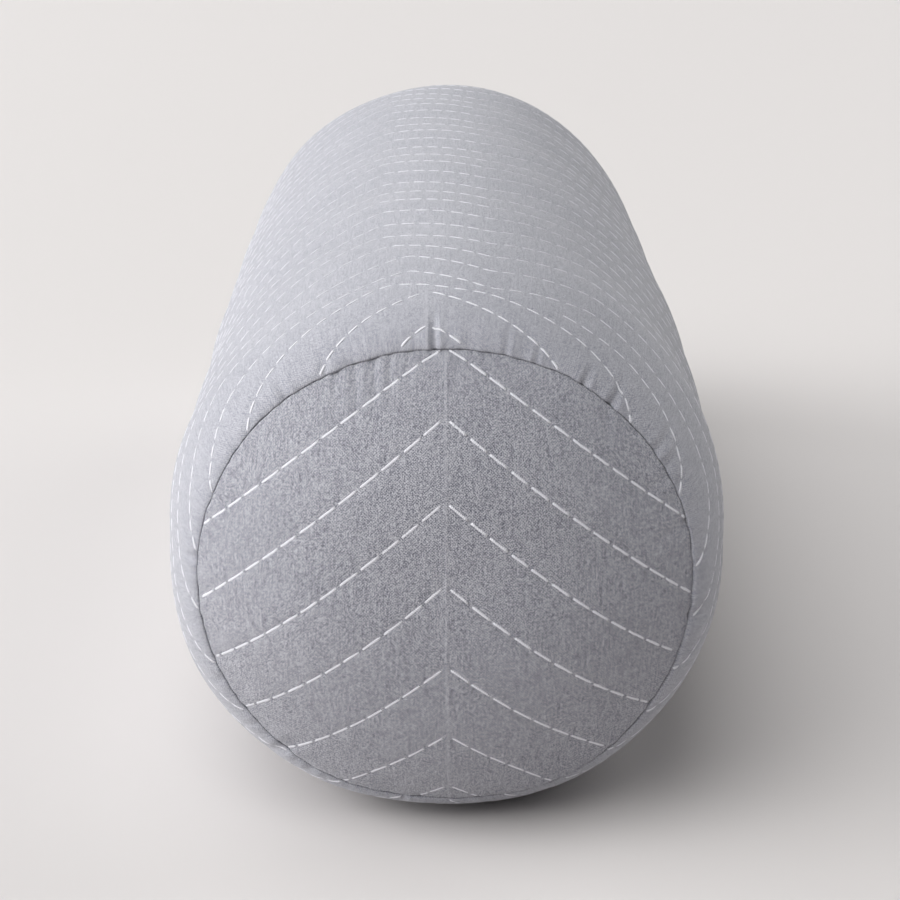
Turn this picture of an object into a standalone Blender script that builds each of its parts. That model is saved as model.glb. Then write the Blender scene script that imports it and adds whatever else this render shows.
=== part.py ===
"""Round bolster pillow, lying on its side.

One long cloth panel is wrapped round the filling and closed by a round panel at each end. The
filling pushes the end panels out into low domes, the end seams draw the cloth in, and the whole
roll sags a little and flattens where it lies. Metres, +Z up. The roll lies along Y, and its
origin is on the surface it lies on, under its middle.
"""

import math

import bpy
from mathutils import Vector

# The roll
SEAM_RADIUS = 0.097        # of both end seams
BODY_RADIUS = 0.115        # of the full roll, just past its shoulders
BARREL = 0.002             # how much fuller it is at mid length
SEAM_TO_SEAM = 0.602
SHOULDER = 0.081           # stretch over which the roll fills out from a seam
SHOULDER_FULLNESS = 1.15   # the lower, the more steeply the cloth leaves the seam

# The end panels
CROWN = 0.033              # how far the filling pushes an end out past its seam
CROWN_POWER = 2.8          # above 2, flatter in the middle and rounder at the seam
PANEL_THICKNESS = 0.002
CLEARANCE = 0.0003

# How it lies
SLUMP = 0.96               # height of the roll over its width, before it flattens below
SPREAD = 0.14              # how much its lower half bulges sideways
AXIS_HEIGHT = 0.1075       # of the roll's axis over the surface it lies on
LEAN = math.radians(2.0)   # the ends lean back from upright

# Tucks where the fuller side panel is eased on to the smaller seam
TUCKS = 24
TUCK_DEPTH = 0.0011
TUCK_REACH = 0.014
TUCK_VARIATION = 0.4       # share of its depth that a tuck may lack
TUCK_WAVES = 5             # the depth comes and goes this many times round a seam

# Fineness
TURN_STEPS = 72
DOME_STEPS = 7
SHOULDER_STEPS = 8
BARREL_STEPS = 5

HALF_LENGTH = SEAM_TO_SEAM / 2
MERGE_DISTANCE = 0.0001

CLOTH = (0.36, 0.37, 0.41, 1.0)
END_CLOTH = (0.31, 0.32, 0.36, 1.0)


def cloth(name, colour):
    """A matt cotton."""
    material = bpy.data.materials.new(name)
    material.use_nodes = True
    shader = material.node_tree.nodes["Principled BSDF"]
    shader.inputs["Base Color"].default_value = colour
    shader.inputs["Roughness"].default_value = 0.9
    shader.inputs["Metallic"].default_value = 0.0
    return material


def dome(inset):
    """From the middle of an end out to its seam: (radius, height over the seam), the points
    lying inset under the end panel's outer face."""
    points = []
    for step in range(DOME_STEPS + 1):
        across = step / DOME_STEPS
        height = CROWN * (1 - across**CROWN_POWER)
        slope = CROWN * CROWN_POWER * across ** (CROWN_POWER - 1) / SEAM_RADIUS
        tilt = math.hypot(1, slope)
        points.append((SEAM_RADIUS * across - inset * slope / tilt, height - inset / tilt))
    return points


def shoulder():
    """From a seam to the full roll: (radius, distance in from the seam)."""
    points = []
    for step in range(SHOULDER_STEPS + 1):
        turn = math.pi / 2 * step / SHOULDER_STEPS
        fullness = math.sin(turn) ** SHOULDER_FULLNESS
        radius = SEAM_RADIUS + (BODY_RADIUS - SEAM_RADIUS) * fullness
        points.append((radius, SHOULDER * (1 - math.cos(turn))))
    return points


def body_outline():
    """The filled roll from one end's middle to the other's, as (radius, height)."""
    half = [(r, HALF_LENGTH + h) for r, h in dome(PANEL_THICKNESS + CLEARANCE)]
    half += [(r, HALF_LENGTH - d) for r, d in shoulder()]
    middle = []
    full_stretch = SEAM_TO_SEAM - 2 * SHOULDER
    for step in range(1, BARREL_STEPS):
        along = 2 * step / BARREL_STEPS - 1
        radius = BODY_RADIUS + BARREL * (1 - along**2)
        middle.append((radius, -along * full_stretch / 2))
    return half + middle + [(r, -h) for r, h in reversed(half)]


def end_panel_outline():
    """A domed panel with its cut edge at the seam, as (radius, height)."""
    outer = dome(0.0)
    inner = dome(PANEL_THICKNESS)
    rim_radius, rim_height = outer[-1]
    outer[-1] = (rim_radius - CLEARANCE, rim_height + CLEARANCE)
    return [(r, HALF_LENGTH + h) for r, h in outer + inner[::-1]]


def turned_mesh(name, outline):
    """Turn an outline, which runs down its outer side, about Z."""
    line = bpy.data.meshes.new(name)
    links = [(i, i + 1) for i in range(len(outline) - 1)]
    line.from_pydata([(max(r, 0.0), 0.0, h) for r, h in outline], links, [])
    profile = bpy.data.objects.new(name + "_outline", line)
    bpy.context.scene.collection.objects.link(profile)
    screw = profile.modifiers.new("Turn", "SCREW")
    screw.axis = "Z"
    screw.steps = TURN_STEPS
    screw.render_steps = TURN_STEPS
    screw.use_merge_vertices = True
    screw.merge_threshold = MERGE_DISTANCE
    depsgraph = bpy.context.evaluated_depsgraph_get()
    mesh = bpy.data.meshes.new_from_object(profile.evaluated_get(depsgraph))
    bpy.data.objects.remove(profile)
    return mesh


def smooth_step(value):
    value = min(max(value, 0.0), 1.0)
    return value * value * (3 - 2 * value)


def settle(point):
    """Where a point of a straight, round roll comes to lie on the soft one."""
    x, y, z = point
    from_seam = HALF_LENGTH - abs(y)
    radius = math.hypot(x, z)
    angle = math.atan2(x, z)

    near_seam = math.exp(-abs(from_seam) / TUCK_REACH) * min(radius / SEAM_RADIUS, 1.0)
    lack = TUCK_VARIATION * (1 - math.cos(TUCK_WAVES * angle)) / 2
    tuck = TUCK_DEPTH * near_seam * (1 - lack) * (1 - math.cos(TUCKS * angle)) / 2
    if radius > 0:
        x -= tuck * x / radius
        z -= tuck * z / radius

    full_share = smooth_step(from_seam / SHOULDER)
    if z < 0:
        x *= 1 + SPREAD * math.sqrt(full_share) * -z / radius
    z *= SLUMP
    y -= math.copysign(math.tan(LEAN) * z * (1 - full_share), y)
    return Vector((x, y, max(z, -AXIS_HEIGHT) + AXIS_HEIGHT))


def add_piece(name, outline, material):
    mesh = turned_mesh(name, outline)
    for vertex in mesh.vertices:
        x, y, z = vertex.co
        vertex.co = settle((x, z, -y))
    mesh.shade_smooth()
    mesh.materials.append(material)
    piece = bpy.data.objects.new(name, mesh)
    pillow.objects.link(piece)
    return piece


for thing in list(bpy.data.objects):
    bpy.data.objects.remove(thing)

pillow = bpy.data.collections.new("Bolster pillow")
bpy.context.scene.collection.children.link(pillow)

back_end = end_panel_outline()
front_end = [(radius, -height) for radius, height in reversed(back_end)]
add_piece("filled_side_panel", body_outline(), cloth("side_cloth", CLOTH))
add_piece("front_end_panel", front_end, cloth("front_end_cloth", END_CLOTH))
add_piece("back_end_panel", back_end, cloth("back_end_cloth", END_CLOTH))
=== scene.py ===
# %% [markdown]
# # Dressing a round bolster pillow
#
# A bolster is a long, round pillow: one cloth wrapped round the filling, and a round panel sewn
# into each end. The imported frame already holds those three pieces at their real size, but plain
# and a little coarse. Here each piece gets its cloth: a finer surface with its puckers and its
# drawn-in seam, the woven colour, and the white running stitches, thread by thread.
#
# The frame is loaded first, because every piece below is measured against it.

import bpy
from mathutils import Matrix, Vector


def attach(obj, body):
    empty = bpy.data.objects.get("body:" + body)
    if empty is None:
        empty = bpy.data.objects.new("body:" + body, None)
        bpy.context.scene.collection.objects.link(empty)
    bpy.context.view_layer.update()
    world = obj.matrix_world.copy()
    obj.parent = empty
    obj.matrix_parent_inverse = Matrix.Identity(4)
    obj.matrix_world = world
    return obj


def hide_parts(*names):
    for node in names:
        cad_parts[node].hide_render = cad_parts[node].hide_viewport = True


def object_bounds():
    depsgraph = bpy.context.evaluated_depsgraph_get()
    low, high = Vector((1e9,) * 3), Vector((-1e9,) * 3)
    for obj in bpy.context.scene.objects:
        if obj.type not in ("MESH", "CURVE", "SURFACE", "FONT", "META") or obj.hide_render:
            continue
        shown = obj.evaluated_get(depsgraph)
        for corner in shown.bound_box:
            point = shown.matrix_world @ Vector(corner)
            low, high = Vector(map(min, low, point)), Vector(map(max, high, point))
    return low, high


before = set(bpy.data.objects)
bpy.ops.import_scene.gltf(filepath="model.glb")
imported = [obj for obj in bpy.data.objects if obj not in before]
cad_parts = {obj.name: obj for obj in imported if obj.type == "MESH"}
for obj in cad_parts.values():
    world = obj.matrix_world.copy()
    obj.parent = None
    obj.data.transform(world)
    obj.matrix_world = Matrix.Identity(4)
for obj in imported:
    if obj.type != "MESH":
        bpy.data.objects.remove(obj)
cad_low, cad_high = [list(corner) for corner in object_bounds()]
print("CAD box, lowest and highest corner in metres:", cad_low, cad_high)

# %% Tools
import math

import bpy
import numpy as np
from mathutils.kdtree import KDTree

scene = bpy.context.scene
MM = 0.001
print("Blender", bpy.app.version_string)

# %% [markdown]
# ## The camera
#
# A long lens stands low in front of one end, so that the end fills most of the picture and the
# roll runs away behind it. The place, the pitch and the lens could be guessed, or moved until they
# look right. Here they were fitted to the outline of the roll and of its end seam, because the
# drawn-in end and the far outline together leave little choice.

# %% Camera
FOCAL_LENGTH_MM = 94.0
SENSOR_WIDTH_MM = 36.0
CAMERA_PLACE = (0.0013, -1.1575, 0.4315)
CAMERA_PITCH = math.radians(17.5)        # below the horizon
SIDE_SHIFT = 0.0017                      # share of the picture's width

camera = bpy.data.objects.new("camera", bpy.data.cameras.new("camera"))
scene.collection.objects.link(camera)
camera.location = CAMERA_PLACE
camera.rotation_euler = (math.pi / 2 - CAMERA_PITCH, 0.0, 0.0)
camera.data.lens = FOCAL_LENGTH_MM
camera.data.sensor_width = SENSOR_WIDTH_MM
camera.data.shift_x = SIDE_SHIFT
scene.camera = camera
front_end = (0.0, cad_low[1], cad_high[2] / 2)
print("Camera", round(math.dist(CAMERA_PLACE, front_end), 3), "m from the front end")

# %% [markdown]
# ## The studio
#
# A pale, matt floor gives the plain background. It runs on so far that its edge lies at the
# horizon, also when the pillow is seen from low down. The light is a wide window low on the left,
# so the left flank is the lightest place, the front end shades from left to right and a soft
# shadow falls to the right. Weaker lamps high in front, overhead and behind fill the rest. Area
# lamps would do, but the floor would darken away from them. Here all are suns with a very wide
# disc: as soft as a large lamp, and even over the whole floor.

# %% Floor
FLOOR_SIZE = 300.0
FLOOR_COLOUR = (0.66, 0.635, 0.625, 1.0)
FLOOR_ROUGHNESS = 0.75


def plain_material(name, colour, roughness):
    """A material with one colour, and its Principled shader."""
    material = bpy.data.materials.new(name)
    material.use_nodes = True
    shader = material.node_tree.nodes["Principled BSDF"]
    shader.inputs["Base Color"].default_value = colour
    shader.inputs["Roughness"].default_value = roughness
    return material, shader


half_floor = FLOOR_SIZE / 2
floor_mesh = bpy.data.meshes.new("floor")
floor_corners = [(-half_floor, -half_floor, 0), (half_floor, -half_floor, 0),
                 (half_floor, half_floor, 0), (-half_floor, half_floor, 0)]
floor_mesh.from_pydata(floor_corners, [], [(0, 1, 2, 3)])
floor_mesh.materials.append(plain_material("pale matt floor", FLOOR_COLOUR, FLOOR_ROUGHNESS)[0])
floor = bpy.data.objects.new("floor", floor_mesh)
scene.collection.objects.link(floor)
print("Floor", FLOOR_SIZE, "m across")

# %% Lamps
ROOM_COLOUR = (1.0, 1.0, 1.0, 1.0)
ROOM_STRENGTH = 0.03
# name: bearing and height in degrees, from +X towards +Y; width of the disc in degrees; strength
LAMPS = {
    "window": (180, 15, 50, 2.80),
    "window_behind": (120, 15, 50, 1.08),
    "front_left": (210, 30, 50, 0.82),
    "front_high": (240, 55, 50, 1.35),
    "overhead": (180, 80, 50, 0.66),
    "back_right": (30, 30, 50, 0.86),
}


def soft_sun(name, bearing, height, width, strength):
    """A sun in a direction of the sky, with a wide disc for soft shadows."""
    lamp = bpy.data.objects.new(name, bpy.data.lights.new(name, "SUN"))
    scene.collection.objects.link(lamp)
    lamp.data.energy = strength
    lamp.data.angle = math.radians(width)
    lamp.rotation_euler = (math.radians(90 - height), 0.0, math.radians(bearing + 90))
    return lamp


for name, lamp_values in LAMPS.items():
    soft_sun(name, *lamp_values)
world = bpy.data.worlds.new("white room")
world.use_nodes = True
background = world.node_tree.nodes["Background"]
background.inputs["Color"].default_value = ROOM_COLOUR
background.inputs["Strength"].default_value = ROOM_STRENGTH
scene.world = world
scene.view_settings.view_transform = "Standard"
print("Lamps:", ", ".join(LAMPS))

# %% [markdown]
# ## The shape of the roll
#
# The same few sizes that cut the frame's solids are named again here. Seen from the side, half
# the roll is one outline: a low dome over the end, the seam, the shoulder where the cloth fills
# out from the seam, and the long, slightly barrelled middle. The outline could be drawn as a
# curve and turned with a Screw modifier. It is kept as a table over the length along the cloth
# instead, because stitches and weave are laid out on the flat cloth before it is sewn, and the
# table says where each flat place ends up.

# %% Sizes of the roll
SEAM_RADIUS = 97.0 * MM
BODY_RADIUS = 115.0 * MM
BARREL = 2.0 * MM
HALF_LENGTH = 301.0 * MM           # from the middle to a seam
SHOULDER = 81.0 * MM
SHOULDER_FULLNESS = 1.15
CROWN = 33.0 * MM
CROWN_POWER = 2.8
SLUMP = 0.96
SPREAD = 0.14
AXIS_HEIGHT = 107.5 * MM
LEAN = math.radians(2.0)
TABLE_STEPS = 400
FRONT, BACK = -1, 1


def along_outline(radius, depth):
    """How far along an outline each of its points is."""
    return np.append(0.0, np.cumsum(np.hypot(np.diff(radius), np.diff(depth))))


def side_table():
    """The side cloth from a seam to mid length: run along it, radius, distance in."""
    turn = np.linspace(0, math.pi / 2, TABLE_STEPS)
    radius = SEAM_RADIUS + (BODY_RADIUS - SEAM_RADIUS) * np.sin(turn) ** SHOULDER_FULLNESS
    inward = SHOULDER * (1 - np.cos(turn))
    barrel_in = np.linspace(SHOULDER, HALF_LENGTH, TABLE_STEPS)[1:]
    along = (HALF_LENGTH - barrel_in) / (HALF_LENGTH - SHOULDER)
    radius = np.append(radius, BODY_RADIUS + BARREL * (1 - along**2))
    inward = np.append(inward, barrel_in)
    return along_outline(radius, inward), radius, inward


def end_table():
    """An end cloth from its middle to the seam: run along it, radius, height over the seam."""
    across = np.linspace(0, 1, TABLE_STEPS)
    radius = SEAM_RADIUS * across
    height = CROWN * (1 - across**CROWN_POWER)
    return along_outline(radius, height), radius, height


SIDE_RUN, SIDE_RADIUS, SIDE_INWARD = side_table()
END_RUN, END_RADIUS, END_HEIGHT = end_table()
HALF_SIDE = SIDE_RUN[-1]
SIDE_LENGTH = 2 * HALF_SIDE
END_REACH = END_RUN[-1]
print(f"Side cloth {SIDE_LENGTH:.3f} m from seam to seam, end cloth {END_REACH:.4f} m to its seam")

# %% [markdown]
# ## How it lies
#
# A full roll still sags a little: it is lower than it is wide, its lower half spreads, and it is
# flat where it touches. This is the step from the straight, round roll to the soft one. It is the
# same as in the frame, so the fine cloth lies where the coarse solids are, but for a slight bend:
# no stuffed roll is quite straight.

# %% Settling
BEND = 1.3 * MM                    # to the right behind the front end, to the left at the back
BEND_PITCH = 720.0 * MM
TINY = 1e-9


def smooth_step(value):
    """A soft step from 0 to 1, level at both ends."""
    value = np.clip(value, 0.0, 1.0)
    return value * value * (3 - 2 * value)


def settle(x, y, z):
    """Where points of a straight, round roll come to lie on the soft one."""
    full_share = smooth_step((HALF_LENGTH - np.abs(y)) / SHOULDER)
    below = np.clip(-z, 0.0, None) / np.maximum(np.hypot(x, z), TINY)
    x = x * (1 + SPREAD * np.sqrt(full_share) * below)
    x = x + BEND * np.sin(2 * math.pi * (y + HALF_LENGTH) / BEND_PITCH)
    z = z * SLUMP
    y = y - np.copysign(math.tan(LEAN) * z * (1 - full_share), y)
    return np.stack([x, y, np.maximum(z, -AXIS_HEIGHT) + AXIS_HEIGHT], axis=-1)


print(f"Height at mid length {settle(0.0, 0.0, BODY_RADIUS + BARREL)[2]:.3f} m")

# %% [markdown]
# ## Puckers and uneven filling
#
# The side cloth is fuller than the seam that it is sewn to, so it is eased in, and the surplus
# stands up in small puckers on both sides of the seam. They could be a wavy bump, but a regular
# wave looks like a pie crust. Each pucker here is a soft trough of its own, with its own angle,
# depth, width and length. The few that stand out are listed one by one, and the rest are scattered.

# %% Puckers
# angle round the seam in degrees, 0 at the top and + to the right; depth, width, length in mm
SIDE_PUCKERS_SEEN = (
    (-2.4, 1.5, 1.1, 14),
    (20.5, 0.7, 1.1, 8),
    (32.5, 1.4, 1.4, 8),
    (40.3, 1.5, 1.5, 11),
    (55.4, 0.8, 1.8, 13),
    (60.0, 0.6, 2.0, 13),
    (98.0, 0.9, 3.5, 20),
    (-38.0, 1.1, 1.8, 10),
    (-54.0, 0.9, 1.8, 12),
    (-68.0, 0.9, 2.2, 12),
    (-139.0, 1.1, 2.4, 14),
    (-147.5, 0.8, 2.0, 11),
)
END_PUCKERS_SEEN = (
    (-25.5, 0.30, 1.6, 15),
    (-20.5, 0.50, 1.6, 19),
    (-16.0, 0.45, 1.5, 20),
    (-12.3, 0.40, 1.3, 16),
    (-8.0, 0.30, 1.3, 13),
    (2.5, 0.25, 1.4, 14),
    (-46.0, 0.30, 2.4, 13),
    (40.0, 0.50, 1.8, 12),
    (62.0, 0.45, 2.6, 17),
    (75.0, 0.45, 2.8, 18),
    (88.0, 0.40, 3.0, 18),
    (99.0, 0.45, 3.5, 19),
    (-139.0, 0.55, 3.0, 14),
)
SCATTERED = 46                    # on each side of each seam
SCATTERED_PLACES = (0.1, 0.9)     # in a pucker's own share of the way round
SCATTERED_DEPTHS = (0.15, 1.0)    # shares of the deepest ...
SHALLOWER = 1.5                   # ... raised to this power, so that most are shallow
SCATTERED_WIDTHS = (1.0, 2.8)     # mm
SCATTERED_LENGTHS = (0.35, 1.0)   # shares of the longest
SEED = 11


def scattered_puckers(random, deepest, longest):
    """Small puckers at uneven steps all round a seam. Sizes are in mm."""
    step = 360 / SCATTERED
    rows = []
    for count in range(SCATTERED):
        angle = -180 + step * (count + random.uniform(*SCATTERED_PLACES))
        depth = deepest * random.uniform(*SCATTERED_DEPTHS) ** SHALLOWER
        width = random.uniform(*SCATTERED_WIDTHS)
        rows.append((angle, depth, width, random.uniform(*SCATTERED_LENGTHS) * longest))
    return rows


random = np.random.default_rng(SEED)
PUCKERS = {
    ("side", FRONT): [*SIDE_PUCKERS_SEEN, *scattered_puckers(random, deepest=0.60, longest=15)],
    ("end", FRONT): [*END_PUCKERS_SEEN, *scattered_puckers(random, deepest=0.30, longest=12)],
    ("side", BACK): scattered_puckers(random, deepest=1.00, longest=18),
    ("end", BACK): scattered_puckers(random, deepest=0.45, longest=15),
}
print("Puckers:", {" ".join(map(str, key)): len(rows) for key, rows in PUCKERS.items()})

# %% Trough of each pucker
RIDGE_OFFSET = 2.1                # of the ridge beside a trough, in widths
RIDGE_SHARE = 0.35                # of the trough's depth
FADE_POWER = 1.6                  # the higher, the more suddenly a pucker ends
GRAIN_REACH = 50                  # degrees from the top where an end's puckers follow the grain
GRAIN_PULL = 0.25                 # share of the radius' slant that they keep there


def turn_from(angle, degrees):
    """How far round the roll each angle is from a place there: radians, from -pi to pi."""
    return (angle - math.radians(degrees) + math.pi) % (2 * math.pi) - math.pi


def trough(aside, depth, width):
    """The depth of a trough with its two ridges, at a distance from its middle line."""
    aside = np.abs(aside) / (width * MM)
    ridges = RIDGE_SHARE * np.exp(-((aside - RIDGE_OFFSET) ** 2))
    return depth * MM * (np.exp(-(aside**2)) - ridges)


def pucker_fade(from_seam, length):
    """The share of a pucker's depth that is left at a distance from the seam."""
    return np.exp(-((from_seam / (length * MM)) ** FADE_POWER))


def side_puckers(end, angle, from_seam):
    """How far the puckers push the side cloth out (+) or in (-). They run along the roll."""
    relief = np.zeros_like(angle)
    for middle, depth, width, length in PUCKERS["side", end]:
        aside = turn_from(angle, middle) * SEAM_RADIUS
        relief -= trough(aside, depth, width) * pucker_fade(from_seam, length)
    return relief


def end_puckers(end, across, up, from_seam):
    """The same on an end cloth. Near the top they follow the grain, and elsewhere the radius."""
    relief = np.zeros_like(across)
    for middle, depth, width, length in PUCKERS["end", end]:
        at = math.radians(middle)
        lean = at * (GRAIN_PULL if abs(middle) < GRAIN_REACH else 1.0)
        from_rim = (across - END_REACH * math.sin(at), up - END_REACH * math.cos(at))
        aside = from_rim[0] * math.cos(lean) - from_rim[1] * math.sin(lean)
        inwards = -from_rim[0] * math.sin(lean) - from_rim[1] * math.cos(lean)
        own_side = (inwards > -END_REACH / 2) & (inwards < END_REACH)
        relief -= trough(aside, depth, width) * pucker_fade(from_seam, length) * own_side
    return relief


print("Deepest pucker:", max(row[1] for rows in PUCKERS.values() for row in rows), "mm")

# %% [markdown]
# Fibre filling never lies quite evenly. A few long, shallow waves over the whole cloth, each with
# its own direction, keep the outline and the shading from looking machined.

# %% Uneven filling
WAVES = 14
ROUND_WAVES = (1, 7)              # a wave goes round the roll at least once, and under 7 times
WAVE_HEIGHT = 0.22 * MM
WAVE_LENGTHS = (70.0 * MM, 260.0 * MM)


def filling_waves(random):
    """For each wave: how often it goes round the roll, its pitch lengthways, phase, height."""
    rows = []
    for _ in range(WAVES):
        round_it = int(random.integers(*ROUND_WAVES))
        pitch = random.uniform(*WAVE_LENGTHS)
        rows.append((round_it, 2 * math.pi / pitch, random.uniform(0, 2 * math.pi), WAVE_HEIGHT))
    return rows


FILLING = filling_waves(random)


def filling_relief(angle, y):
    """How far the uneven filling pushes the cloth out or in."""
    relief = np.zeros_like(angle)
    for round_it, turns, phase, height in FILLING:
        relief += height * np.cos(round_it * angle + turns * y + phase)
    return relief


print("Filling waves:", len(FILLING))

# %% [markdown]
# Some places of this roll stand out or lie in more than that: the lower corners of the front end
# bulge, because the weight spreads them, and its flanks are a little hollow. They are soft mounds,
# listed one by one. An end cloth shares them near its seam.

# %% Bulges
# angle, spread in degrees; run from the front seam, reach, height in mm
BULGES = (
    (152.0, 22.0, 5, 40, 3.0),
    (-153.0, 15.0, 5, 28, 1.8),
    (96.0, 15.0, 30, 32, -1.2),
    (-96.0, 13.0, 0, 18, -0.8),
    (-44.0, 12.0, 0, 18, 0.8),
    (30.0, 9.0, 0, 15, 0.5),
)
END_SHARE = 14.0 * MM             # how far in from the seam an end cloth follows them


def bulges(angle, run):
    """How far the roll stands out at a run along it from the front seam."""
    outwards = np.zeros_like(angle)
    for middle, spread, at, reach, height in BULGES:
        round_it = turn_from(angle, middle) / math.radians(spread)
        along = (run - at * MM) / (reach * MM)
        outwards += height * MM * np.exp(-(round_it**2) - along**2)
    return outwards


print("Bulges:", len(BULGES))

# %% [markdown]
# ## The seam
#
# Where two cloths are sewn together and turned, the thread pulls both into a narrow valley. From
# a step away it is a fine dark line that wavers a little and pinches in at every stitch. It could
# be painted as a dark stripe, but a real groove keeps its shadow from every side, so both cloths
# dive into one. Low on the right the cloths gape a little more, and the line is darker there.

# %% Seam groove and its waver
GROOVE_DEPTH = 0.8 * MM
GROOVE_WIDTH = 0.12 * MM
GROOVE_POWER = 1.4                # between a sharp valley, 1, and a round one, 2
SEAM_STITCHES = 190               # round a seam, so 3.2 mm long
STITCH_PINCH = 0.35               # share of the groove's depth
GAPE = 0.9                        # how much wider the groove is where it gapes most ...
GAPE_ANGLE = math.radians(130)    # ... at this angle round the seam
GROOVE_OUTWARD = 0.35             # the groove's direction: this much radial ...
GROOVE_ENDWARD = math.sqrt(1 - GROOVE_OUTWARD**2)     # ... and this much along the roll
WAVER_REACH = 7.0 * MM
WAVER_TURN = 1.7                  # so that the wavers start apart, and the two seams differ
# times round the seam, height in mm
WAVERS = ((5, 0.06), (9, 0.06), (17, 0.06), (29, 0.07), (43, 0.06), (71, 0.06), (97, 0.05))


def seam_groove(angle, from_seam):
    """How deep the groove is at an angle round the seam and a distance from it."""
    pinch = 1 + STITCH_PINCH * np.cos(SEAM_STITCHES * angle)
    gape = 1 + GAPE * ((1 + np.cos(angle - GAPE_ANGLE)) / 2) ** 2
    away = from_seam / (GROOVE_WIDTH * gape)
    return GROOVE_DEPTH * pinch * gape * np.exp(-(away**GROOVE_POWER))


def seam_waver(end, angle, from_seam):
    """How far the seam strays outwards, fading away from it."""
    stray = np.zeros_like(angle)
    for times, height in WAVERS:
        stray += height * MM * np.cos(times * angle + times * WAVER_TURN * (end + 2))
    return stray * np.exp(-from_seam / WAVER_REACH)


print("Seam groove", GROOVE_DEPTH / MM, "mm deep")

# %% [markdown]
# ## Chevrons of running stitch
#
# The cloth was stitched before it was sewn up. On a round end the lines are plain chevrons that
# point up, one under the other, and bow slightly as they run out. They are written as a formula
# over the flat cloth: height = start - pitch * row - slope * distance from the middle. The seam
# pulls the point of the first one down, and the middle line leans a little, as sewing does.

# %% Lines on an end cloth
END_ROWS = 7
END_TOP = 109.1 * MM              # height of the first point over the middle of the end
END_PITCH = 31.7 * MM
END_PITCH_GROWTH = 0.33 * MM      # a row, squared
END_SLOPES = {-1: 0.888, 1: 0.872}
END_BOW = 0.84                    # per metre
LINE_STEP = 1.5 * MM
FEWEST_POINTS = 3                 # of a line that is kept
FIRST_DIP = 2.9 * MM              # of the first chevron's point
DIP_REACH = 9.0 * MM
POINT_GAP = 1.5 * MM              # from the middle to the first stitch
CLOTH_MARGIN = 0.2 * MM           # stitches end this far before the seam
MIDDLE_LEAN = 0.007               # how far the middle moves aside for each metre down


def middle_line(up):
    """Where the middle of the chevrons lies across an end cloth."""
    return MIDDLE_LEAN * (END_REACH - up)


def end_lines():
    """Each arm of each chevron, as points (across, up) on the flat end cloth."""
    lines = []
    for row in range(END_ROWS):
        for side, slope in END_SLOPES.items():
            out = np.arange(POINT_GAP, END_REACH, LINE_STEP)
            up = END_TOP - END_PITCH * row - END_PITCH_GROWTH * row**2
            up = up - slope * out + END_BOW * out**2
            if row == 0:
                up = up - FIRST_DIP * np.exp(-out / DIP_REACH)
            across = side * out + middle_line(up)
            inside = np.hypot(across, up) < END_REACH - CLOTH_MARGIN
            if inside.sum() >= FEWEST_POINTS:
                lines.append(np.stack([across, up], axis=-1)[inside])
    return lines


END_LINES = end_lines()
print("Arms on an end cloth:", len(END_LINES))

# %% [markdown]
# On the long side the first two lines are small chevrons that close on the front seam. Behind them
# each line rises up the left flank to a peak, dips to a valley just right of the top, rises to a
# lower peak and runs down the right flank, and the lines repeat to the far end. A line is given by
# a few corners on the flat cloth, which are then rounded a little.

# %% Lines on the side cloth
SIDE_PITCH = 23.0 * MM
FIRST_PEAK = 71.0 * MM
DEGREE = math.radians(1) * BODY_RADIUS       # a degree round the roll, as a length on the cloth
LEFT_SLOPE, RIGHT_SLOPE = 0.785, 0.857       # of the lower flanks
LEFT_KNEE, LEFT_DROP = -52.0, 45.5 * MM      # where the left flank steepens, and how far down
RIGHT_KNEE, RIGHT_DROP = 71.0, 44.5 * MM
VALLEY, VALLEY_DROP = 9.0, 23.0 * MM
RIGHT_PEAK, RIGHT_PEAK_DROP = 31.0, 10.5 * MM
PEAKS = (-8.0, -8.0, -12.0, -15.0)           # of the first lines, and the last for all that follow
UNDERSIDE = 180.0                            # a line ends where its flanks meet below
ROUNDING = 5                                 # points of a line that are averaged
# degrees round the roll, millimetres from the front seam
FIRST_LINES = (
    ((-3.7, 11.6), (-7.2, 6.3), (-10.7, 0.0)),
    ((-3.0, 11.3), (1.0, 5.8), (5.0, 0.0)),
    ((-5.0, 39.5), (-17.0, 22.0), (-29.5, 0.0)),
    ((-3.0, 40.5), (12.0, 20.0), (26.5, 0.0)),
    ((-51.0, 0.0), (-42.0, 14.0), (-20.0, 43.5), (-15.0, 51.5), (-11.0, 54.5), (-4.0, 49.5),
     (2.0, 44.0), (9.0, 41.0), (30.0, 23.0), (40.0, 11.0), (47.0, 0.0)),
    ((24.0, 41.0), (40.0, 34.0), (52.0, 23.0), (61.0, 11.0), (68.0, 0.0)),
)


def side_corners(peak_run, peak_angle):
    """The corners of one long line, round the whole roll, as (degrees, run)."""
    left_knee = peak_run - LEFT_DROP
    right_knee = peak_run - RIGHT_DROP
    left_end = left_knee - LEFT_SLOPE * DEGREE * (UNDERSIDE + LEFT_KNEE)
    right_end = right_knee - RIGHT_SLOPE * DEGREE * (UNDERSIDE - RIGHT_KNEE)
    return [
        (-UNDERSIDE, left_end), (LEFT_KNEE, left_knee), (peak_angle, peak_run),
        (VALLEY, peak_run - VALLEY_DROP), (RIGHT_PEAK, peak_run - RIGHT_PEAK_DROP),
        (RIGHT_KNEE, right_knee), (UNDERSIDE, right_end),
    ]


def evenly_spaced(points, step):
    """The same line with its points one step apart."""
    run = along_outline(points[:, 0], points[:, 1])
    at = np.arange(0.0, run[-1], step)
    return np.stack([np.interp(at, run, points[:, 0]), np.interp(at, run, points[:, 1])], axis=-1)


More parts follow.
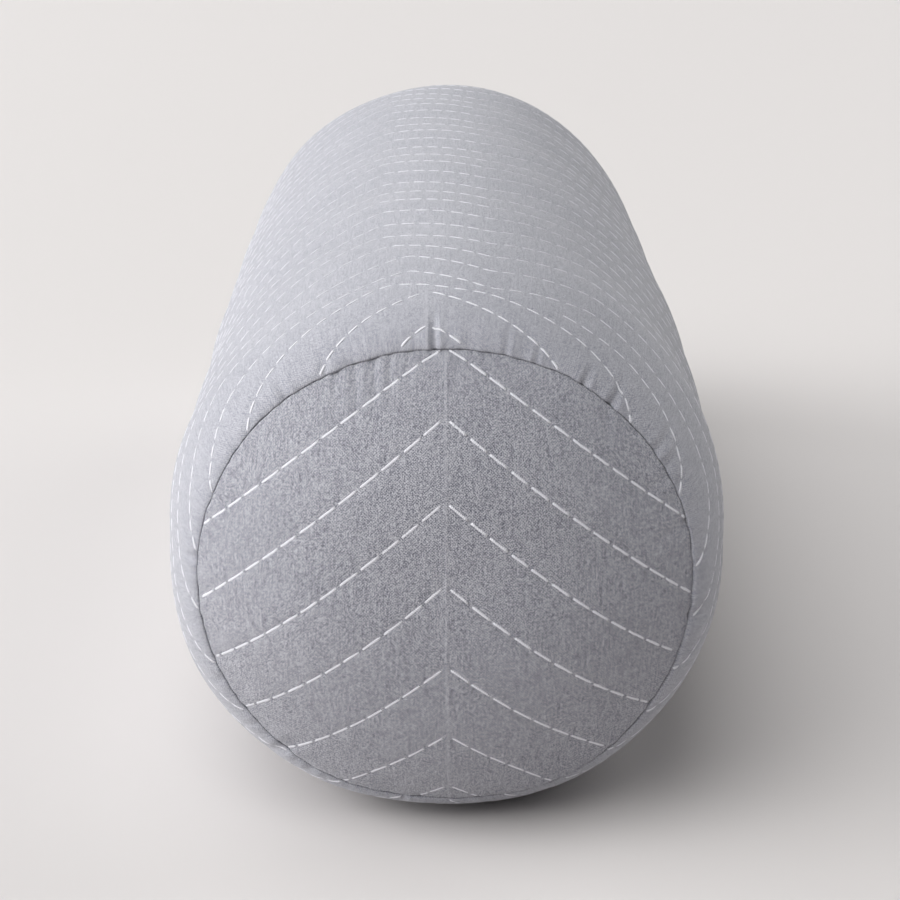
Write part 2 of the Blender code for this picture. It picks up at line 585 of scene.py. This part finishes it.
def rounded(line):
    """The line with its corners rounded: each point moves to the mean of its neighbours."""
    kernel = np.full(ROUNDING, 1 / ROUNDING)
    padded = np.pad(line, ((ROUNDING // 2, ROUNDING // 2), (0, 0)), mode="reflect", reflect_type="odd")
    return np.stack([np.convolve(padded[:, axis], kernel, mode="valid") for axis in (0, 1)], axis=-1)


def side_lines():
    """Each line, as points (round the roll, run from the front seam) on the flat side cloth."""
    corner_lists = [[(degrees, run * MM) for degrees, run in line] for line in FIRST_LINES]
    row = 0
    while True:
        peak_run = FIRST_PEAK + row * SIDE_PITCH
        corners = side_corners(peak_run, PEAKS[min(row, len(PEAKS) - 1)])
        if min(run for _, run in corners) > SIDE_LENGTH:
            break
        corner_lists.append(corners)
        row += 1
    lines = []
    for corners in corner_lists:
        flat = np.array([(degrees * DEGREE, run) for degrees, run in corners])
        line = rounded(evenly_spaced(flat, LINE_STEP))
        inside = (line[:, 1] > CLOTH_MARGIN) & (line[:, 1] < SIDE_LENGTH - CLOTH_MARGIN)
        breaks = np.flatnonzero(np.diff(inside.astype(int))) + 1
        for piece, kept in zip(np.split(line, breaks), np.split(inside, breaks)):
            if kept[0] and len(piece) >= FEWEST_POINTS:
                lines.append(piece)
    return lines


SIDE_LINES = side_lines()
print("Lines on the side cloth:", len(SIDE_LINES))

# %% [markdown]
# A stitch holds the cloth down, so each line lies in a faint furrow. The furrow's depth at a place
# depends on how near the closest line is, and a k-d tree finds that quickly for the many thousand
# points of a cloth.

# %% Furrows along the lines
FURROW_DEPTH = 0.30 * MM


def line_tree(lines):
    """A search tree of all the points on all the lines."""
    points = np.concatenate(lines)
    tree = KDTree(len(points))
    for index, (across, up) in enumerate(points):
        tree.insert((across, up, 0.0), index)
    tree.balance()
    return tree


def furrow_relief(tree, across, up, width):
    """How far the stitches pull the cloth in."""
    flat = zip(np.ravel(across), np.ravel(up))
    near = np.array([tree.find((a, b, 0.0))[2] for a, b in flat])
    return -FURROW_DEPTH * np.exp(-((near.reshape(np.shape(across)) / width) ** 2))


END_TREE = line_tree(END_LINES)
SIDE_TREE = line_tree(SIDE_LINES)
print("Points on lines:", sum(map(len, END_LINES)), "and", sum(map(len, SIDE_LINES)))

# %% [markdown]
# ## From flat cloth to pillow
#
# Two functions now say where any place of the flat cloths lies on the finished pillow. Both the
# cloth's mesh and its stitches use them, so a stitch always sits on its cloth.

# %% Place on the side cloth
SIDE_FURROW = 2.2 * MM
SIDE_OUT = np.gradient(SIDE_INWARD, SIDE_RUN)       # how far the cloth faces outwards
SIDE_ENDWARD = np.gradient(SIDE_RADIUS, SIDE_RUN)   # how far it faces its own end


def side_place(across, run):
    """The point on the pillow for a place on the flat side cloth."""
    angle = across / BODY_RADIUS
    front = run < HALF_SIDE
    from_seam = np.minimum(run, SIDE_LENGTH - run)
    end = np.where(front, FRONT, BACK)
    radius = np.interp(from_seam, SIDE_RUN, SIDE_RADIUS)
    inward = np.interp(from_seam, SIDE_RUN, SIDE_INWARD)
    relief = np.where(front, side_puckers(FRONT, angle, from_seam),
                      side_puckers(BACK, angle, from_seam))
    relief += filling_relief(angle, end * (HALF_LENGTH - inward))
    relief += furrow_relief(SIDE_TREE, across, run, SIDE_FURROW)
    groove = seam_groove(angle, from_seam)
    stray = np.where(front, seam_waver(FRONT, angle, from_seam), seam_waver(BACK, angle, from_seam))
    stray += bulges(angle, run)
    outwards = relief * np.interp(from_seam, SIDE_RUN, SIDE_OUT) - groove * GROOVE_OUTWARD + stray
    endwards = relief * np.interp(from_seam, SIDE_RUN, SIDE_ENDWARD) - groove * GROOVE_ENDWARD
    radius = radius + outwards
    y = end * (HALF_LENGTH - inward + endwards)
    return settle(radius * np.sin(angle), y, radius * np.cos(angle))


print("Top of the front seam:", side_place(np.array(0.0), np.array(0.0)).round(4))

# %% Place on an end cloth
END_FURROW = 1.6 * MM
END_OUT = -np.gradient(END_HEIGHT, END_RUN)
END_ENDWARD = np.gradient(END_RADIUS, END_RUN)
RIB_HEIGHT = 0.12 * MM            # of the pressed fold down the middle
RIB_WIDTH = 0.6 * MM
RIB_ACROSS = 0.3 * MM
WAVES_ACROSS = 0.3                # how quickly the filling's waves follow each other across an end


def end_place(end, across, up):
    """The point on the pillow for a place on a flat end cloth."""
    angle = np.arctan2(across, up)
    run = np.hypot(across, up)
    from_seam = np.maximum(END_REACH - run, 0.0)
    radius = np.interp(run, END_RUN, END_RADIUS)
    height = np.interp(run, END_RUN, END_HEIGHT)
    relief = end_puckers(end, across, up, from_seam)
    waves = filling_relief(WAVES_ACROSS * across / SEAM_RADIUS, up)
    relief += waves * smooth_step(from_seam / SEAM_RADIUS)
    relief += furrow_relief(END_TREE, across, up, END_FURROW)
    relief += RIB_HEIGHT * np.exp(-(((across - middle_line(up) - RIB_ACROSS) / RIB_WIDTH) ** 2))
    groove = seam_groove(angle, from_seam)
    stray = seam_waver(end, angle, from_seam)
    if end == FRONT:
        stray += bulges(angle, 0.0) * np.exp(-((from_seam / END_SHARE) ** 2))
    radius = radius + relief * np.interp(run, END_RUN, END_OUT) - groove * GROOVE_OUTWARD + stray
    height = height + relief * np.interp(run, END_RUN, END_ENDWARD) - groove * GROOVE_ENDWARD
    return settle(radius * np.sin(angle), end * (HALF_LENGTH + height), radius * np.cos(angle))


print("Middle of the front end:", end_place(FRONT, np.array(0.0), np.array(0.0)).round(4))

# %% [markdown]
# ## Building the cloths
#
# Every cloth is a grid of rings round the roll's axis, closed by a point at each end that meets
# the axis. Near a seam, where the groove and the puckers are, the rings are close together and
# have all their points. Elsewhere they are further apart and keep only every second point. One
# helper makes the mesh and writes each corner's place on the flat cloth into a UV map, in metres,
# so that the weave keeps its scale and runs with the cloth.

# %% Ringed mesh
ROUND_STEPS = 800
FINE, COARSE = 1, 2               # a ring keeps each point, or every second one
FINE_REACH = 22.0 * MM            # from a seam
CLOTH_MAP = "flat cloth"


def ring_angles(steps):
    """One angle more than there are columns, so that the last column closes on the first."""
    return np.linspace(-math.pi, math.pi, steps + 1)


def fineness(from_seam):
    """Which points a ring keeps at each distance from a seam."""
    return [FINE if distance < FINE_REACH else COARSE for distance in from_seam]


def mapped_mesh(name, points, faces, map_name, corners):
    """A smooth mesh with a UV map that holds the place of each corner of each face."""
    mesh = bpy.data.meshes.new(name)
    mesh.from_pydata([tuple(point) for point in points], [], faces)
    layer = mesh.uv_layers.new(name=map_name)
    layer.uv.foreach_set("vector", np.concatenate(corners).astype(np.float32).ravel())
    mesh.shade_smooth()
    return mesh


def ringed_mesh(name, rings, kept, flat, poles, outward):
    """rings: points (ring, column, xyz). kept: FINE or COARSE for each ring. flat: each ring's
    places on the flat cloth, with one column more. poles: the points that close both ends."""
    count, columns = rings.shape[:2]
    points, starts = [], []
    for ring, every in zip(rings, kept):
        starts.append(len(points))
        points.extend(ring[::every])
    faces, corners = [], []

    def add_face(spots, pole=None):
        face = [starts[ring] + column % columns // kept[ring] for ring, column in spots]
        places = [flat[spot] for spot in spots]
        if pole is not None:
            face.append(pole)
            places.append(flat[spots[0][0]].mean(axis=0))
        faces.append(face if outward else face[::-1])
        corners.append(places if outward else places[::-1])

    for ring in range(count - 1):
        widest = max(kept[ring], kept[ring + 1])
        for column in range(0, columns, widest):
            spots = [(ring, column + k) for k in range(0, widest + 1, kept[ring])]
            spots += [(ring + 1, column + k) for k in range(widest, -1, -kept[ring + 1])]
            add_face(spots)
    for pole, ring, turn in ((poles[0], 0, -1), (poles[1], count - 1, 1)):
        points.append(pole)
        for column in range(0, columns, kept[ring]):
            add_face([(ring, column), (ring, column + kept[ring])][::turn], len(points) - 1)
    return mapped_mesh(name, points, faces, CLOTH_MAP, corners)


def add_piece(name, mesh, material):
    """A piece that rides on the pillow's one body."""
    mesh.materials.append(material)
    piece = bpy.data.objects.new(name, mesh)
    scene.collection.objects.link(piece)
    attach(piece, "root")
    print(name, "has", sum(len(face.vertices) - 2 for face in mesh.polygons), "triangles")
    return piece


print("Points round a ring:", ROUND_STEPS // FINE, "or", ROUND_STEPS // COARSE)

# %% [markdown]
# ## The woven cloth
#
# This is a chambray: a plain weave of blue-grey warp threads and paler weft threads. From close by
# it is a fine speckle with a grain that runs with the warp, because cotton yarn is a little
# thicker here and there. The weave could be an image, but a procedural one has no repeat and no
# fixed resolution. The group is built once and used by all the cloths. It puts out a colour, a
# roughness and a height for the bump.

# %% Helpers for node trees
def add_node(tree, kind, **settings):
    """A new node with its properties set."""
    node = tree.nodes.new(kind)
    for name, value in settings.items():
        setattr(node, name, value)
    return node


def math_node(tree, operation, first, second=None):
    """A Math node; an input is a number or another node's output. Returns its output."""
    node = add_node(tree, "ShaderNodeMath", operation=operation)
    for socket, value in zip(node.inputs, (first, second)):
        if value is None:
            continue
        if isinstance(value, (int, float)):
            socket.default_value = value
        else:
            tree.links.new(value, socket)
    return node.outputs["Value"]


def swing(tree, pattern, share):
    """A pattern from 0 to 1, turned into one that swings about 0 by a share."""
    return math_node(tree, "MULTIPLY", math_node(tree, "SUBTRACT", pattern, 0.5), share)


def across_and_along(tree, place):
    """The two parts of a place on the flat cloth, as two outputs."""
    apart = add_node(tree, "ShaderNodeSeparateXYZ")
    tree.links.new(place, apart.inputs["Vector"])
    return apart.outputs["X"], apart.outputs["Y"]


def in_cells(tree, place, cell):
    """A place counted in cells that measure (across, along) metres."""
    scaled = add_node(tree, "ShaderNodeVectorMath", operation="MULTIPLY")
    tree.links.new(place, scaled.inputs[0])
    scaled.inputs[1].default_value = (1 / cell[0], 1 / cell[1], 1.0)
    return scaled.outputs["Vector"]


def noise(tree, place, cell, detail):
    """Noise over the cloth whose features are about as large as a cell."""
    texture = add_node(tree, "ShaderNodeTexNoise", noise_dimensions="2D")
    texture.inputs["Scale"].default_value = 1.0
    texture.inputs["Detail"].default_value = detail
    tree.links.new(in_cells(tree, place, cell), texture.inputs["Vector"])
    return texture.outputs["Fac"]


def add_bump(tree, shader, height, distance, strength):
    """Relief that only the light sees."""
    bump = add_node(tree, "ShaderNodeBump")
    bump.inputs["Strength"].default_value = strength
    bump.inputs["Distance"].default_value = distance
    tree.links.new(height, bump.inputs["Height"])
    tree.links.new(bump.outputs["Normal"], shader.inputs["Normal"])


# %% Chambray node group
THREAD_PITCH = 0.58 * MM
FIBRE_PITCH = 0.29 * MM
# of the noises: (across, along) the cloth
WARP_SLUB = (0.8 * MM, 14.0 * MM)
WEFT_SLUB = (7.0 * MM, 0.8 * MM)
CLOUD = (45.0 * MM, 60.0 * MM)
SLUB_DETAIL, CLOUD_DETAIL = 2.0, 3.0
# how much each pattern moves the colour from one thread's to the other's
CROSSING_SHARE = 0.30
CROSS_GRAIN = 0.08
CLOUDINESS = 0.15
CROSSING_HEIGHT = 0.5             # of the crossings in the bump
SMOOTHEST, ROUGHER = 0.80, 0.12   # the least roughness, and what the fibres add at most
WEAVE_INPUTS = {"Place": "Vector", "Warp colour": "Color", "Weft colour": "Color",
                "Fleck": "Float", "Grain": "Float"}
WEAVE_OUTPUTS = {"Colour": "Color", "Roughness": "Float", "Height": "Float"}


def chambray_group():
    """The weave as a node group: place on the cloth in, colour, roughness and height out."""
    group = bpy.data.node_groups.new("chambray weave", "ShaderNodeTree")
    for in_out, sockets in (("INPUT", WEAVE_INPUTS), ("OUTPUT", WEAVE_OUTPUTS)):
        for name, kind in sockets.items():
            group.interface.new_socket(name, in_out=in_out, socket_type="NodeSocket" + kind)
    given = add_node(group, "NodeGroupInput")
    result = add_node(group, "NodeGroupOutput")
    place = given.outputs["Place"]

    # Warp and weft threads cross like two waves. Each quarter of a crossing has its own shade.
    across, along = across_and_along(group, place)
    turns = math.pi / THREAD_PITCH
    over = math_node(group, "SINE", math_node(group, "MULTIPLY", across, turns))
    under = math_node(group, "SINE", math_node(group, "MULTIPLY", along, turns))
    crossing = math_node(group, "MULTIPLY", over, under)
    whole = add_node(group, "ShaderNodeVectorMath", operation="FLOOR")
    group.links.new(in_cells(group, place, (FIBRE_PITCH, FIBRE_PITCH)), whole.inputs[0])
    shade = add_node(group, "ShaderNodeTexWhiteNoise", noise_dimensions="2D")
    group.links.new(whole.outputs["Vector"], shade.inputs["Vector"])

    # Thicker stretches of yarn are long along the warp, and shorter along the weft.
    fleck = swing(group, shade.outputs["Value"], given.outputs["Fleck"])
    grain = swing(group, noise(group, place, WARP_SLUB, SLUB_DETAIL), given.outputs["Grain"])
    cross_grain = swing(group, noise(group, place, WEFT_SLUB, SLUB_DETAIL), CROSS_GRAIN)
    cloudy = swing(group, noise(group, place, CLOUD, CLOUD_DETAIL), CLOUDINESS)
    pale = math_node(group, "MULTIPLY", crossing, CROSSING_SHARE)
    for part in (fleck, grain, cross_grain, cloudy, 0.5):
        pale = math_node(group, "ADD", pale, part)
    mixed = add_node(group, "ShaderNodeMix", data_type="RGBA", clamp_factor=True)
    group.links.new(pale, mixed.inputs["Factor"])
    group.links.new(given.outputs["Warp colour"], mixed.inputs["A"])
    group.links.new(given.outputs["Weft colour"], mixed.inputs["B"])
    group.links.new(mixed.outputs["Result"], result.inputs["Colour"])

    height = math_node(group, "MULTIPLY", crossing, CROSSING_HEIGHT)
    for part in (grain, fleck):
        height = math_node(group, "ADD", height, part)
    group.links.new(height, result.inputs["Height"])
    rough = math_node(group, "MULTIPLY", shade.outputs["Value"], ROUGHER)
    group.links.new(math_node(group, "ADD", rough, SMOOTHEST), result.inputs["Roughness"])
    return group


CHAMBRAY = chambray_group()
print("Node group", CHAMBRAY.name, "with", len(CHAMBRAY.nodes), "nodes")

# %% [markdown]
# A cloth's own material places that group, with its own two thread colours. The shader stays in
# the material, with the fuzz of cotton as sheen. Down the middle of an end runs the faint line of
# a pressed fold, which goes on a little way over the side cloth. It is drawn as a narrow band. The
# end cloths have a darker warp and a paler weft than the side. That gives them a stronger speckle,
# and it makes them darker overall than the lamps do: painted shade.

# %% Cloth materials
FOLD_HALF_WIDTH = 0.45 * MM
FOLD_SOFTNESS = 0.35 * MM
FOLD_PALENESS = 0.22              # how far its colour goes towards the weft's
WEAVE_DEPTH, WEAVE_STRENGTH = 0.09 * MM, 0.6     # of the bump
CLOTH_ROUGHNESS = 0.85
CLOTH_SHEEN, CLOTH_SHEEN_ROUGHNESS = 0.25, 0.45
CLOTH_SPECULAR = 0.25


def chambray_material(name, warp, weft, fold, fleck, grain):
    """A chambray with its pressed fold: where it lies across the cloth, how far it goes up or
    along the cloth, and its lean."""
    fold_across, fold_reach, fold_lean = fold
    material, shader = plain_material(name, warp, CLOTH_ROUGHNESS)
    shader.inputs["Sheen Weight"].default_value = CLOTH_SHEEN
    shader.inputs["Sheen Roughness"].default_value = CLOTH_SHEEN_ROUGHNESS
    shader.inputs["Specular IOR Level"].default_value = CLOTH_SPECULAR
    tree = material.node_tree
    place = add_node(tree, "ShaderNodeUVMap", uv_map=CLOTH_MAP).outputs["UV"]
    weave = add_node(tree, "ShaderNodeGroup", node_tree=CHAMBRAY)
    weave.inputs["Warp colour"].default_value = warp
    weave.inputs["Weft colour"].default_value = weft
    weave.inputs["Fleck"].default_value = fleck
    weave.inputs["Grain"].default_value = grain
    tree.links.new(place, weave.inputs["Place"])

    across, along = across_and_along(tree, place)
    upright = math_node(tree, "ADD", across, math_node(tree, "MULTIPLY", along, fold_lean))
    aside = math_node(tree, "SUBTRACT", upright, fold_across)
    band = add_node(tree, "ShaderNodeMapRange", interpolation_type="SMOOTHSTEP")
    tree.links.new(math_node(tree, "ABSOLUTE", aside), band.inputs["Value"])
    band.inputs["From Min"].default_value = FOLD_HALF_WIDTH
    band.inputs["From Max"].default_value = FOLD_HALF_WIDTH + FOLD_SOFTNESS
    band.inputs["To Min"].default_value = FOLD_PALENESS
    band.inputs["To Max"].default_value = 0.0
    near = math_node(tree, "LESS_THAN", along, fold_reach)
    pressed = add_node(tree, "ShaderNodeMix", data_type="RGBA")
    tree.links.new(math_node(tree, "MULTIPLY", band.outputs["Result"], near), pressed.inputs["Factor"])
    tree.links.new(weave.outputs["Colour"], pressed.inputs["A"])
    pressed.inputs["B"].default_value = weft
    tree.links.new(pressed.outputs["Result"], shader.inputs["Base Color"])
    tree.links.new(weave.outputs["Roughness"], shader.inputs["Roughness"])
    add_bump(tree, shader, weave.outputs["Height"], WEAVE_DEPTH, WEAVE_STRENGTH)
    return material


SIDE_WARP = (0.186, 0.192, 0.230, 1.0)
SIDE_WEFT = (0.529, 0.530, 0.572, 1.0)
# The ends' darker warp gives a stronger speckle and darkens the ends overall: painted shade.
END_WARP_WITH_PAINTED_SHADE = (0.105, 0.110, 0.140, 1.0)
END_WEFT = (0.557, 0.557, 0.602, 1.0)
SIDE_FLECK, END_FLECK = 0.85, 1.12
GRAIN = 0.50
END_FOLD = (RIB_ACROSS + MIDDLE_LEAN * END_REACH, 2 * END_REACH, MIDDLE_LEAN)
SIDE_FOLD = (-4.0 * DEGREE, 45.0 * MM, 0.0)
side_cloth = chambray_material("side chambray", SIDE_WARP, SIDE_WEFT, SIDE_FOLD, SIDE_FLECK, GRAIN)
end_cloth = chambray_material("end chambray with painted shade", END_WARP_WITH_PAINTED_SHADE, END_WEFT, END_FOLD, END_FLECK, GRAIN)
print("Cloth materials:", side_cloth.name, "and", end_cloth.name)

# %% [markdown]
# ## The side cloth
#
# The long side is one tube of cloth from seam to seam. Its mesh goes on under the end cloths as
# two plain domes, where the filling is, so the piece is closed.

# %% Side cloth
# how far from a seam the rings next to it lie, in mm
SEAM_RUNS = (0.0, 0.09, 0.18, 0.32, 0.7, 1.3, 2.0, 2.9, 4.0, 5.3, 6.8, 8.5, 10.4, 12.5, 14.8)
SIDE_STEP = 3.6 * MM
FILLING_GAP = 3.2 * MM            # from an end cloth's outside to the filling under it
FILLING_INSET = 1.2 * MM          # of the filling's widest ring from the seam
FILLING_RINGS = 5
SMALLEST_RING = 0.06              # share of the widest


def side_runs():
    """Where the rings lie along the side cloth: close at the seams, then even."""
    near = [run * MM for run in SEAM_RUNS]
    count = round((SIDE_LENGTH - 2 * near[-1]) / SIDE_STEP)
    middle = np.linspace(near[-1], SIDE_LENGTH - near[-1], count + 1)[1:-1]
    return np.concatenate([near, middle, [SIDE_LENGTH - run for run in reversed(near)]])


def filling_rings(end, angles):
    """Rings of the filling under an end cloth, from near the axis out to the seam."""
    radius = (SEAM_RADIUS - FILLING_INSET) * np.linspace(SMALLEST_RING, 1.0, FILLING_RINGS)[:, None]
    height = CROWN * (1 - (radius / SEAM_RADIUS) ** CROWN_POWER) - FILLING_GAP
    y = end * (HALF_LENGTH + height)
    return settle(radius * np.sin(angles), y + 0 * angles, radius * np.cos(angles))


def side_cloth_mesh():
    """The whole closed side piece."""
    angles = ring_angles(ROUND_STEPS)
    runs = side_runs()
    across, run = np.meshgrid(angles * BODY_RADIUS, runs)
    cloth = side_place(across[:, :-1], run[:, :-1])
    front = filling_rings(FRONT, angles[None, :-1])
    back = filling_rings(BACK, angles[None, :-1])[::-1]
    rings = np.concatenate([front, cloth, back])
    flat = np.stack([across, run], axis=-1)
    flat = np.concatenate([flat[:1].repeat(len(front), 0), flat, flat[-1:].repeat(len(back), 0)])
    plain = [COARSE] * FILLING_RINGS
    kept = [*plain, *fineness(np.minimum(runs, SIDE_LENGTH - runs)), *plain]
    poles = [settle(np.array(0.0), np.array(end * (HALF_LENGTH + CROWN - FILLING_GAP)), np.array(0.0))
             for end in (FRONT, BACK)]
    return ringed_mesh("side_panel_cloth", rings, kept, flat, poles, False)


side_piece = add_piece("side_panel_cloth", side_cloth_mesh(), side_cloth)
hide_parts("filled_side_panel")

# %% [markdown]
# ## The end cloths
#
# Each end is a round cloth, pushed out by the filling. It is a thin closed shell: the outside has
# the furrows, the pressed fold and the puckers, and a plainer inside lies just under it.

# %% End cloths
END_STEP = 1.7 * MM
END_SEAM_RUNS = SEAM_RUNS[:10]    # an end cloth needs fewer rings close together
CLOTH_THICKNESS = 1.0 * MM
INSIDE_EVERY = 6                  # the inside has every sixth ring of the outside


def end_runs():
    """Where the rings lie, from near the middle out to the seam."""
    near = [END_REACH - run * MM for run in END_SEAM_RUNS]
    count = round(near[-1] / END_STEP)
    return np.concatenate([np.linspace(0.0, near[-1], count + 1)[1:-1], near[::-1]])


def end_cloth_mesh(name, end):
    """An end's closed shell, from the inside's middle over the rim to the outside's middle."""
    angles = ring_angles(ROUND_STEPS)
    runs = end_runs()
    turn, run = np.meshgrid(angles, runs)
    flat = np.stack([run * np.sin(turn), run * np.cos(turn)], axis=-1)
    outside = end_place(end, flat[:, :-1, 0], flat[:, :-1, 1])
    under = np.array([0.0, -end * CLOTH_THICKNESS, 0.0])
    picked = sorted({*range(0, len(outside), INSIDE_EVERY), len(outside) - 1})
    rings = np.concatenate([outside[picked] + under, outside[::-1]])
    middle = end_place(end, np.array(0.0), np.array(0.0))
    flat_rings = np.concatenate([flat[picked], flat[::-1]])
    kept = [*[COARSE] * len(picked), *fineness(END_REACH - runs[::-1])]
    return ringed_mesh(name, rings, kept, flat_rings, (middle + under, middle), end == BACK)


for name, node, end in (("front_end_cloth", "front_end_panel", FRONT),
                        ("back_end_cloth", "back_end_panel", BACK)):
    end_piece = add_piece(name, end_cloth_mesh(name, end), end_cloth)
    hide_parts(node)

# %% [markdown]
# ## The thread
#
# A running stitch goes in and out of the cloth, so only dashes of it show: 8 or 9 mm of thread, a
# short gap, and the next. On the side the dashes are about 7 mm long, and less of the thread shows.
# A dash could be a painted mark, but thread stands up from the cloth and catches the light. Each
# dash is a short, flat tube whose two ends dive into the cloth. All the dashes of a cloth are
# built at once as one array of points and joined in one mesh.

# %% Where the dashes go
# how long a dash is, the gap after it, and how much of the thread's width shows
END_DASH = (8.6 * MM, 1.7 * MM, 1.38 * MM)
SIDE_DASH = (6.9 * MM, 1.3 * MM, 1.20 * MM)
DASH_VARIATION = 0.09
GAP_VARIATION = 0.25
SHORTEST_DASH = 1.4 * MM
LATEST_START = 0.7 * MM           # of a line's first dash


def dashes(lines, dash, gap, random):
    """The start and end of each dash: (line, start, end), measured along its line."""
    rows = []
    for line in lines:
        length = along_outline(line[:, 0], line[:, 1])[-1]
        start = random.uniform(0.0, LATEST_START)
        while start < length - SHORTEST_DASH:
            end = start + dash * (1 + random.uniform(-DASH_VARIATION, DASH_VARIATION))
            rows.append((line, start, min(end, length)))
            start = end + gap * (1 + random.uniform(-GAP_VARIATION, GAP_VARIATION))
    return rows


for cloth, (dash, gap, _) in (("an end", END_DASH), ("the side", SIDE_DASH)):
    print(f"Stitches on {cloth}: {(dash + gap) / MM:.1f} mm from one to the next")

# %% Tubes for the dashes
THREAD_HEIGHT = 0.42 * MM
THREAD_LIFT = 0.05 * MM           # of its middle over the cloth
DASH_RINGS = 6
DASH_SIDES = 5
NUDGE = 0.05 * MM                 # a step on the cloth, for finding which way it faces
END_DIVE = 0.18 * MM              # how far a dash's ends dive
END_TAPER = 0.55                  # share of its thickness, squared, that a dash's ends lack
END_POWER = 8                     # the higher, the closer to its ends a dash dives and tapers


def dash_centres(rows):
    """Places on the flat cloth along each dash: (dash, ring, 2), and the length so far."""
    centres, runs = [], []
    for line, start, end in rows:
        run = along_outline(line[:, 0], line[:, 1])
        at = np.linspace(start, end, DASH_RINGS)
        centres.append(np.stack([np.interp(at, run, line[:, 0]), np.interp(at, run, line[:, 1])], -1))
        runs.append(at)
    return np.array(centres), np.array(runs)


def unit(vectors):
    """The same directions, each 1 long."""
    return vectors / np.maximum(np.linalg.norm(vectors, axis=-1, keepdims=True), TINY)


def dash_points(place, centres, width, facing):
    """The points of every dash's tube on the surface that place() gives: (dash, ring, side, xyz)."""
    across, up = centres[..., 0], centres[..., 1]
    middle = place(across, up)
    normal = np.cross(place(across + NUDGE, up) - middle, place(across, up + NUDGE) - middle)
    normal = unit(normal) * facing
    ahead = unit(np.gradient(middle, axis=1))
    aside = unit(np.cross(ahead, normal))
    ending = np.abs(np.linspace(-1, 1, DASH_RINGS)) ** END_POWER
    swell = np.sqrt(1 - END_TAPER * ending)
    lift = THREAD_LIFT - END_DIVE * ending
    turn = 2 * math.pi * np.arange(DASH_SIDES) / DASH_SIDES + math.pi / 2
    middle = middle + normal * lift[:, None]
    wide = (width / 2 * swell)[:, None] * np.cos(turn)
    high = (THREAD_HEIGHT / 2 * swell)[:, None] * np.sin(turn)
    points = middle[:, :, None] + aside[:, :, None] * wide[..., None]
    points = points + normal[:, :, None] * high[..., None]
    points[..., 2] = np.maximum(points[..., 2], 0.0)
    return points


print("Points in a dash:", DASH_RINGS * DASH_SIDES)

# %% Dashes as one mesh
THREAD_MAP = "thread"


def dash_faces(runs):
    """The faces of every tube, and their corners' places: (along the line, round the thread)."""
    faces, corners = [], []
    around = np.arange(DASH_SIDES + 1) / DASH_SIDES
    for dash, run in enumerate(runs):
        first = dash * DASH_RINGS * DASH_SIDES
        for ring in range(DASH_RINGS - 1):
            for side in range(DASH_SIDES):
                quad = [(ring, side), (ring + 1, side), (ring + 1, side + 1), (ring, side + 1)]
                faces.append([first + r * DASH_SIDES + s % DASH_SIDES for r, s in quad])
                corners.append([(run[r], around[s]) for r, s in quad])
        for ring, turn in ((0, 1), (DASH_RINGS - 1, -1)):
            rim = [first + ring * DASH_SIDES + s for s in range(DASH_SIDES)]
            faces.append(rim[::turn])
            corners.append([(run[ring], around[s]) for s in range(DASH_SIDES)][::turn])
    return faces, corners


def thread_mesh(name, place, rows, width, facing):
    """Every dash of a cloth, in one mesh."""
    centres, runs = dash_centres(rows)
    points = dash_points(place, centres, width, facing)
    faces, corners = dash_faces(runs)
    return mapped_mesh(name, points.reshape(-1, 3), faces, THREAD_MAP, corners)


# %% [markdown]
# The thread is bleached cotton of two twisted plies. The twist is a wave that runs round the
# thread as it goes along, and it feeds the bump and a little of the colour: painted shade in the
# hollows between the plies and painted light on their crests.

# %% Thread material
TWIST_PITCH = 0.9 * MM
TWIST_DEPTH, TWIST_STRENGTH = 0.08 * MM, 1.0     # of the bump
THREAD_COLOUR = (0.76, 0.76, 0.81, 1.0)
# Painted shade in the hollows between the plies, and painted light on their crests.
HOLLOW_PAINTED_SHADE = (0.695, 0.695, 0.75, 1.0)    # between the plies
PLY_CREST_PAINTED_LIGHT = (0.81, 0.81, 0.86, 1.0)
THREAD_ROUGHNESS = 0.6
THREAD_SHEEN, THREAD_SHEEN_ROUGHNESS = 0.2, 0.5


def thread_material():
    """White twisted cotton."""
    material, shader = plain_material("white cotton thread", THREAD_COLOUR, THREAD_ROUGHNESS)
    shader.inputs["Sheen Weight"].default_value = THREAD_SHEEN
    shader.inputs["Sheen Roughness"].default_value = THREAD_SHEEN_ROUGHNESS
    tree = material.node_tree
    place = add_node(tree, "ShaderNodeUVMap", uv_map=THREAD_MAP).outputs["UV"]
    along, around = across_and_along(tree, place)
    along = math_node(tree, "MULTIPLY", along, 2 * math.pi / TWIST_PITCH)
    around = math_node(tree, "MULTIPLY", around, 2 * math.pi)
    twist = math_node(tree, "SINE", math_node(tree, "ADD", along, around))
    # The twist paints shade into the hollows between the plies and light onto their crests.
    shaded = add_node(tree, "ShaderNodeMix", data_type="RGBA")
    share = math_node(tree, "ADD", math_node(tree, "MULTIPLY", twist, 0.5), 0.5)
    tree.links.new(share, shaded.inputs["Factor"])
    shaded.inputs["A"].default_value = HOLLOW_PAINTED_SHADE
    shaded.inputs["B"].default_value = PLY_CREST_PAINTED_LIGHT
    tree.links.new(shaded.outputs["Result"], shader.inputs["Base Color"])
    add_bump(tree, shader, twist, TWIST_DEPTH, TWIST_STRENGTH)
    return material


thread = thread_material()
print("Thread material:", thread.name)

# %% Stitches on each cloth
side_rows = dashes(SIDE_LINES, *SIDE_DASH[:2], random)
side_thread = thread_mesh("side_stitches", side_place, side_rows, SIDE_DASH[2], 1)
add_piece("side_stitches", side_thread, thread)
for name, end in (("front_end_stitches", FRONT), ("back_end_stitches", BACK)):
    end_rows = dashes(END_LINES, *END_DASH[:2], random)
    end_thread = thread_mesh(name, lambda across, up: end_place(end, across, up), end_rows,
                             END_DASH[2], end)
    add_piece(name, end_thread, thread)
print("Dashes on the side cloth:", len(side_rows), "and on each end:", len(end_rows))
